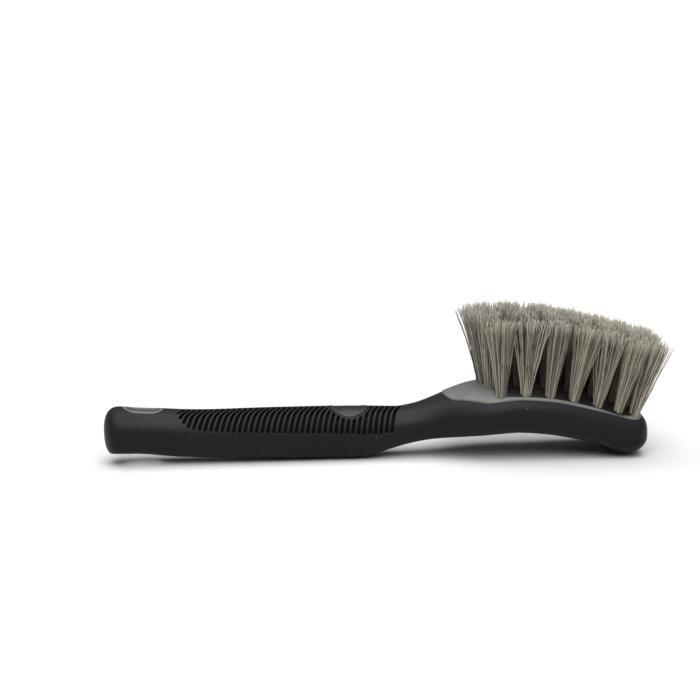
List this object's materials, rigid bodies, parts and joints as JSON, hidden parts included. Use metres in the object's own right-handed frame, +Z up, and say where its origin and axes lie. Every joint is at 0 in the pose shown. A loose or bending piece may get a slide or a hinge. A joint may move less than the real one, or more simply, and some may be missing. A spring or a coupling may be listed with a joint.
{
  "type": "wheel brush",
  "caption": "Hand brush for vehicle wheels: ribbed soft-grip handle with a hang slot, and a crowned, downward-curving head with flared, flagged bristle tufts.",
  "frame": {"origin": "under the middle of the brush's bounding box, on the surface that it lies on", "axes": "+X along the brush from the handle end to the head tip, +Y across it, +Z up along the bristles"},
  "size_m": [0.2964, 0.0708, 0.0792],
  "materials": {
    "core": "fine moulded satin",
    "overmould": "fine matt texture",
    "badge": "smooth satin",
    "bristle": "flagged filament",
    "anchor": "bright flat wire"
  },
  "bodies": {
    "root": {"core": "core", "overmould": "overmould", "badge": "badge", "tuft_1_1": "bristle", "tuft_1_2": "bristle", "tuft_1_3": "bristle", "tuft_1_4": "bristle", "tuft_1_5": "bristle", "tuft_2_1": "bristle", "tuft_2_2": "bristle", "tuft_2_3": "bristle", "tuft_2_4": "bristle", "tuft_2_5": "bristle", "tuft_3_1": "bristle", "tuft_3_2": "bristle", "tuft_3_3": "bristle", "tuft_3_4": "bristle", "tuft_3_5": "bristle", "tuft_4_1": "bristle", "tuft_4_2": "bristle", "tuft_4_3": "bristle", "tuft_4_4": "bristle", "tuft_4_5": "bristle", "tuft_5_1": "bristle", "tuft_5_2": "bristle", "tuft_5_3": "bristle", "tuft_5_4": "bristle", "tuft_5_5": "bristle", "tuft_6_1": "bristle", "tuft_6_2": "bristle", "tuft_6_3": "bristle", "tuft_6_4": "bristle", "tuft_6_5": "bristle", "tuft_7_1": "bristle", "tuft_7_2": "bristle", "tuft_7_3": "bristle", "tuft_7_4": "bristle", "tuft_7_5": "bristle"}
  },
  "joints": []
}
